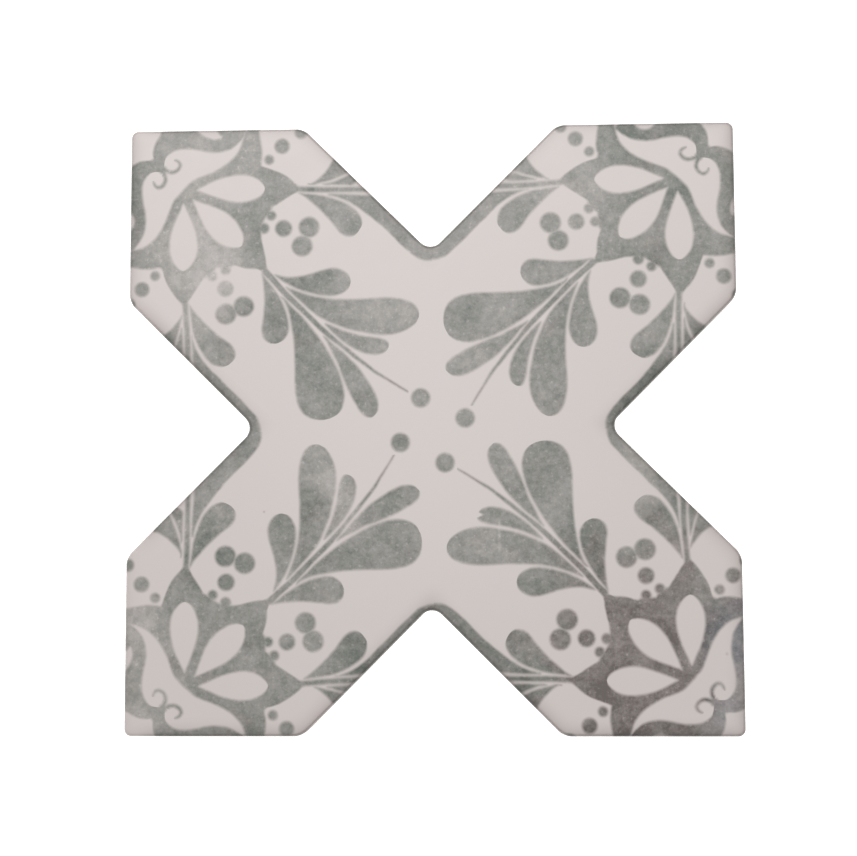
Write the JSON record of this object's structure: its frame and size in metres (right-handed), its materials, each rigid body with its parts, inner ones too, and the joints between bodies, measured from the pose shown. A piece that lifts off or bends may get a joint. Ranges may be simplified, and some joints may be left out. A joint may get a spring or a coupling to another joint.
{
  "type": "patterned porcelain cross tile",
  "caption": "Flat cross-shaped porcelain tile with a right-angled notch in each side, a rounded glazed edge, a keyed back and a printed leaf ornament; lays with star tiles.",
  "frame": {"origin": "centre of the back face, on the plane that the tile lies on", "axes": "+Z out of the glazed face; X and Y along the flats at the ends of the arms, so the arms point along the diagonals"},
  "size_m": [0.1324, 0.1324, 0.009],
  "materials": {
    "printed_porcelain": "satin glaze with a grey-green printed leaf ornament"
  },
  "bodies": {
    "root": {"cross_tile": "printed_porcelain"}
  },
  "joints": []
}
